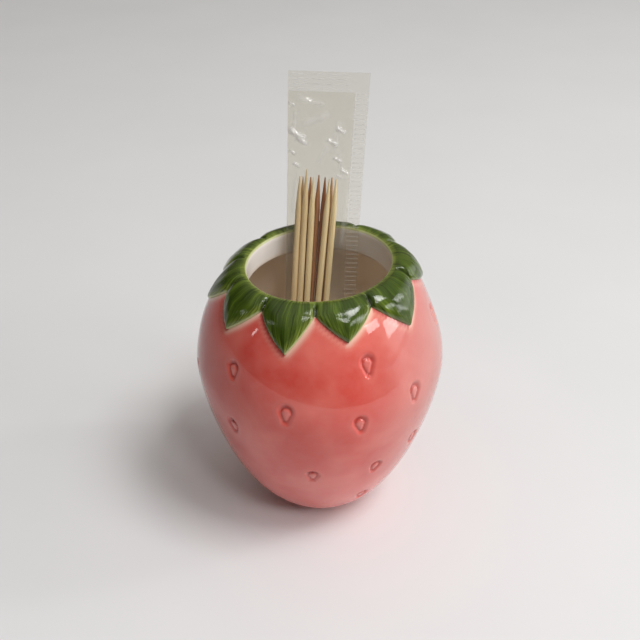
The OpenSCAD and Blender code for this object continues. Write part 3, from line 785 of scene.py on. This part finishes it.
row = add_node(tree, "GeometryNodeSetShadeSmooth", {"Geometry": row})
row = add_node(tree, "GeometryNodeSetMaterial", {"Geometry": row, "Material": crimped_film})
add_node(tree, "NodeGroupOutput", {0: row}, None)


def grown(name, tree, inputs, values):
    """Runs a Geometry Nodes tree on an empty mesh, and gives its result as a plain mesh."""
    seed_object = put(name, bpy.data.meshes.new(name + "_start"))
    modifier = seed_object.modifiers.new("grow", "NODES")
    modifier.node_group = tree
    for key, value in values.items():
        modifier[inputs[key]] = value
    seen = seed_object.evaluated_get(bpy.context.evaluated_depsgraph_get())
    mesh = bpy.data.meshes.new_from_object(seen)
    mesh.name = name
    seed_object.modifiers.clear()
    bpy.data.objects.remove(seed_object)
    return mesh


rib_join = bmesh.new()
for k, (count, first, middle, length) in enumerate(RIB_ROWS):
    ribs = grown("ribs_%d" % k, tree, inputs, {
        "Count": count, "Pitch": RIB_PITCH * MM, "First": (middle * MM, 0.0, first * MM),
        "Length": length * MM, "Width": RIB_W * MM, "Thickness": (SEAL_T + 2 * RIB_RISE) * MM,
        "Flare From": FLARE_Z * MM, "Seed": 11 + k,
        "Flare Rate": (SEAL_FLARE if k == 0 else 0.0) / (SACHET_L - FLARE_Z)})
    rib_join.from_mesh(ribs)
rib_mesh = bpy.data.meshes.new("sachet_crimps")
rib_join.to_mesh(rib_mesh)
rib_join.free()
rib_mesh.materials.append(crimped_film)
rib_mesh.transform(STANDING)
crimps = put("sachet_crimps", rib_mesh)
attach(crimps, "sachet")


# The toothpicks
# Ten round sticks turned from bamboo and ground to a point at both ends. The fibres run
# the whole length. Their colours differ a little, and the back row is painted dark as painted shade.
PICK_L, PICK_D, TIP_D, POINT_L = 65.0, 1.3, 0.22, 8.0
LAYER_Y, SEAL_H, BOW = 0.725, 4.0, 0.03
PICKS = [  # foot across and layer, tip across and layer, lift of the foot; cane tone and painted shade
    (-5.27, -0.35, -3.96, -1, 1.15, 0.8), (-4.15, -1, -2.86, -1, 2.35, 0.85),
    (-3, -1, -1.75, -1, 1.05, 1), (-1.9, -1, 0.86, -1, 0.9, 1), (-0.35, -1, 1.97, -1, 0.88, 1),
    (-4.55, 1, -3.44, 1, 0.9, 0.5), (-3.48, 1, -2.2, 1, 0.88, 0.1), (-2.4, 1, -0.85, 1, 1.25, 0.1),
    (-1.36, 1, 0.17, 1, 0.88, 0), (-0.28, 1, 1.31, 1, 0.9, 0.3),
]

# Bamboo: straight fibre lines, drawn a fifth of a millimetre apart so that they show, a little
# coarser than real ones. It is satin from the grinding belt, and darker between the fibres.
bamboo, tree, shader = new_finish("ground_bamboo")
around, length, shade_and_tone = (add_node(tree, "ShaderNodeAttribute", out="Fac", attribute_name=name)
                        for name in ("around", "length", "shade_and_tone"))
turn = add_node(tree, "ShaderNodeMath", {0: around, 1: 2 * math.pi}, operation="MULTIPLY")
side = add_node(tree, "ShaderNodeMath", {0: turn}, operation="COSINE")
face = add_node(tree, "ShaderNodeMath", {0: turn}, operation="SINE")
lift = add_node(tree, "ShaderNodeMath", {0: length, 1: shade_and_tone}, operation="ADD")
fibre_way = add_node(tree, "ShaderNodeCombineXYZ", {0: side, 1: face, 2: lift})
fibre_way = add_node(tree, "ShaderNodeMapping", {0: fibre_way, "Scale": (3.2, 3.2, 90)})
fibre = add_node(tree, "ShaderNodeTexNoise", {
    "Vector": fibre_way, "Scale": 1.0, "Detail": 5, "Roughness": 0.65})
fibre = add_node(tree, "ShaderNodeMapRange", {0: fibre, 1: 0.34, 2: 0.66})
# The tone mix gives the real change between canes, and darkens the back row as painted shade.
groove, cane = (
    add_node(tree, "ShaderNodeMix", {0: shade_and_tone, 6: linear(dark), 7: linear(pale)}, 2, data_type="RGBA")
    for dark, pale in (("#7d421a", "#f2d59c"), ("#bd7636", "#fff2cc")))
colour = add_node(tree, "ShaderNodeMix", {0: fibre, 6: groove, 7: cane}, 2, data_type="RGBA")
ridge = add_node(tree, "ShaderNodeBump", {"Strength": 0.5, "Distance": 0.00004, "Height": fibre})
feed(shader, {"Base Color": colour, "Roughness": 0.55, "IOR": 1.48, "Normal": ridge})

tree, inputs, given = new_tree("toothpick", {
    "Length": "Float", "Diameter": "Float", "Tip Diameter": "Float", "Point Length": "Float",
    "Bow": "Float", "Shade And Tone": "Float"}, "Stick")
top = add_node(tree, "ShaderNodeCombineXYZ", {2: given["Length"]})
stick = add_node(tree, "GeometryNodeCurvePrimitiveLine", {"End": top})
stick = add_node(tree, "GeometryNodeResampleCurve", {"Curve": stick, "Count": 66})
share = add_node(tree, "GeometryNodeSplineParameter", out="Factor")
travelled = add_node(tree, "GeometryNodeSplineParameter", out="Length")
stick = add_node(tree, "GeometryNodeStoreNamedAttribute", {
    "Geometry": stick, "Name": "length", "Value": travelled})
left_over = add_node(tree, "ShaderNodeMath", {0: given["Length"], 1: travelled}, operation="SUBTRACT")
to_end = add_node(tree, "ShaderNodeMath", {0: travelled, 1: left_over}, operation="MINIMUM")
point = add_node(tree, "ShaderNodeMath", {0: to_end, 1: given["Point Length"]},
                 operation="DIVIDE", use_clamp=True)
point = add_node(tree, "ShaderNodeMath", {0: 1.0, 1: point}, operation="SUBTRACT")
point = add_node(tree, "ShaderNodeMath", {0: point, 1: 1.35}, operation="POWER")
thin = add_node(tree, "ShaderNodeMapRange", {
    0: point, 1: 0.0, 2: 1.0, 3: given["Diameter"], 4: given["Tip Diameter"]})
thin = add_node(tree, "ShaderNodeMath", {0: thin, 1: 0.5}, operation="MULTIPLY")
arc = add_node(tree, "ShaderNodeMath", {0: share, 1: math.pi}, operation="MULTIPLY")
arc = add_node(tree, "ShaderNodeMath", {0: arc}, operation="SINE")
arc = add_node(tree, "ShaderNodeMath", {0: arc, 1: given["Bow"]}, operation="MULTIPLY")
arc = add_node(tree, "ShaderNodeCombineXYZ", {0: arc})
stick = add_node(tree, "GeometryNodeSetPosition", {"Geometry": stick, "Offset": arc})
ring = add_node(tree, "GeometryNodeCurvePrimitiveCircle", {"Resolution": 20, "Radius": 1.0})
ring = add_node(tree, "GeometryNodeStoreNamedAttribute", {
    "Geometry": ring, "Name": "around", "Value": share})
stick = add_node(tree, "GeometryNodeCurveToMesh", {
    "Curve": stick, "Profile Curve": ring, "Scale": thin, "Fill Caps": True})
stick = add_node(tree, "GeometryNodeStoreNamedAttribute", {
    "Geometry": stick, "Name": "shade_and_tone", "Value": given["Shade And Tone"]})
stick = add_node(tree, "GeometryNodeSetShadeSmooth", {"Geometry": stick})
stick = add_node(tree, "GeometryNodeRealizeInstances", {"Geometry": stick})
stick = add_node(tree, "GeometryNodeSetMaterial", {"Geometry": stick, "Material": bamboo})
add_node(tree, "NodeGroupOutput", {0: stick}, None)

for number, (foot, foot_layer, tip, tip_layer, lift, shade_and_tone) in enumerate(PICKS, 1):
    name = "bamboo_stick_%02d" % number
    mesh = grown(name, tree, inputs, {
        "Length": PICK_L * MM, "Diameter": PICK_D * MM, "Tip Diameter": TIP_D * MM, "Shade And Tone": shade_and_tone,
        "Point Length": POINT_L * MM, "Bow": (BOW if number % 2 else -BOW) * MM})
    sideways, deep = (tip - foot) * PICK_D, (tip_layer - foot_layer) * LAYER_Y
    slant = math.asin(math.hypot(sideways, deep) / PICK_L)
    seat = (STANDING @ Matrix.Translation((foot * PICK_D * MM, foot_layer * LAYER_Y * MM,
                                           (SEAL_H + lift * PICK_D) * MM))
            @ Matrix.Rotation(math.atan2(deep, sideways), 4, "Z") @ Matrix.Rotation(slant, 4, "Y"))
    mesh.transform(seat)
    pick = put(name, mesh)
    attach(pick, "pick_%02d" % number)
    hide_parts("toothpick_%02d" % number)


# The table, the light and the camera
# A plain pale table top that fills the view, lit by a skylight, panes on the right and a slit
# on the left. The glaze also shows the room: a bright wall on the right, a pale ceiling and
# back wall, and a dim side towards the camera and the left.
TABLE_EDGE = [(-4, -0.25), (-0.08, -0.25), (0.2, -0.09), (0.5, -0.09), (4, -4), (4, 4), (-4, 4)]
table_mesh = bpy.data.meshes.new("table_top")
table_mesh.from_pydata([(x, y, 0) for x, y in TABLE_EDGE], [], [range(len(TABLE_EDGE))])
table_top = put("table_top", table_mesh)
table_white, tree, shader = new_finish("white_painted_board")
place = add_node(tree, "ShaderNodeTexCoord", out="Object")
brushed = add_node(tree, "ShaderNodeTexNoise", {"Vector": place, "Scale": 1 / 0.05, "Detail": 3})
colour = add_node(tree, "ShaderNodeMix", {0: brushed, 6: linear("#dedfe0"), 7: linear("#e4e5e6")},
                  2, data_type="RGBA")
feed(shader, {"Base Color": colour, "Roughness": 0.55})
table_mesh.materials.append(table_white)

ROOM = [  # side, where it starts and is full along its axis, and its colour
    ("Z", -0.02, 0.3, linear("#7a716b")), ("Y", -0.1, 0.5, linear("#867d71")),
    ("X", -0.1, -0.7, linear("#2c2623")), ("Z", 0.55, 0.92, linear("#bbb8b5")),
]
WINDOW_WAY = (0.966, 0.259, 0.0)
WINDOW_WALL = 1.9  # how bright the daylit side of the room is, where a white surface is 1
WALL_FROM, WALL_FULL = 0.76, 0.97  # cosine of the angle off the middle of that side
room = bpy.data.worlds.new("room")
bpy.context.scene.world = room
room.use_nodes = True
tree = room.node_tree
way = add_node(tree, "ShaderNodeTexCoord", out="Generated")
axes = add_node(tree, "ShaderNodeSeparateXYZ", {0: way}, None)
to_right = add_node(tree, "ShaderNodeVectorMath", {0: way, 1: WINDOW_WAY}, "Value",
                    operation="DOT_PRODUCT")
sides = [(axes[axis], start, full, tint) for axis, start, full, tint in ROOM]
sides.append((to_right, WALL_FROM, WALL_FULL, (WINDOW_WALL,) * 3 + (1.0,)))
colour = linear("#241d1a")
for value, start, full, tint in sides:
    share = add_node(tree, "ShaderNodeMapRange", {0: value, 1: start, 2: full})
    colour = add_node(tree, "ShaderNodeMix", {0: share, 6: colour, 7: tint}, 2, data_type="RGBA")
# The camera itself sees a pale backdrop past the table: the room is for light and reflections.
sight = add_node(tree, "ShaderNodeLightPath", out="Is Camera Ray")
colour = add_node(tree, "ShaderNodeMix", {0: sight, 6: colour, 7: linear("#e6e5e3")}, 2, data_type="RGBA")
feed(tree.nodes["Background"], {"Color": colour, "Strength": 1.0})

LAMP_AWAY, LAMP_AIM = 1.0, Vector((0, 0, 0.05))
LAMPS = [  # name, angle from +X, angle up, width, height, watts
    ("skylight", -26, 62, 0.34, 0.34, 5.4),
    ("window_top", -66, 52, 0.15, 0.2, 1.3),
    ("window_side", 8, 31, 0.08, 0.2, 0.7),
    ("window_pane_left", -32, 26, 0.25, 0.2, 1.2),
    ("window_pane_right", -13, 14, 0.26, 0.26, 1.3),
    ("window_beyond", -164, 22, 0.04, 0.12, 0.1),
]


def aim_at(thing, location, target):
    thing.location = location
    thing.rotation_euler = (target - thing.location).to_track_quat("-Z", "Y").to_euler()


for name, turn, up, width, height, watts in LAMPS:
    lamp = bpy.data.lights.new(name, "AREA")
    lamp.shape, lamp.size, lamp.size_y = "RECTANGLE", width, height
    lamp.energy = watts
    turn, up = math.radians(turn), math.radians(up)
    way = Vector((math.cos(up) * math.cos(turn), math.cos(up) * math.sin(turn), math.sin(up)))
    aim_at(put(name, lamp), LAMP_AIM + LAMP_AWAY * way, LAMP_AIM)

# The photograph's view: 34 degrees down along +Y, as far off as the cup's outline says.
CAMERA_AT, CAMERA_AIM = Vector((0.0, -0.1604, 0.1557)), Vector((0, 0, 0.04636))
lens = bpy.data.cameras.new("camera")
lens.lens, lens.sensor_width = 50.6, 36.0
lens.clip_start = 0.01
camera = put("camera", lens)
aim_at(camera, CAMERA_AT, CAMERA_AIM)
bpy.context.scene.camera = camera
bpy.context.scene.view_settings.view_transform = "Standard"
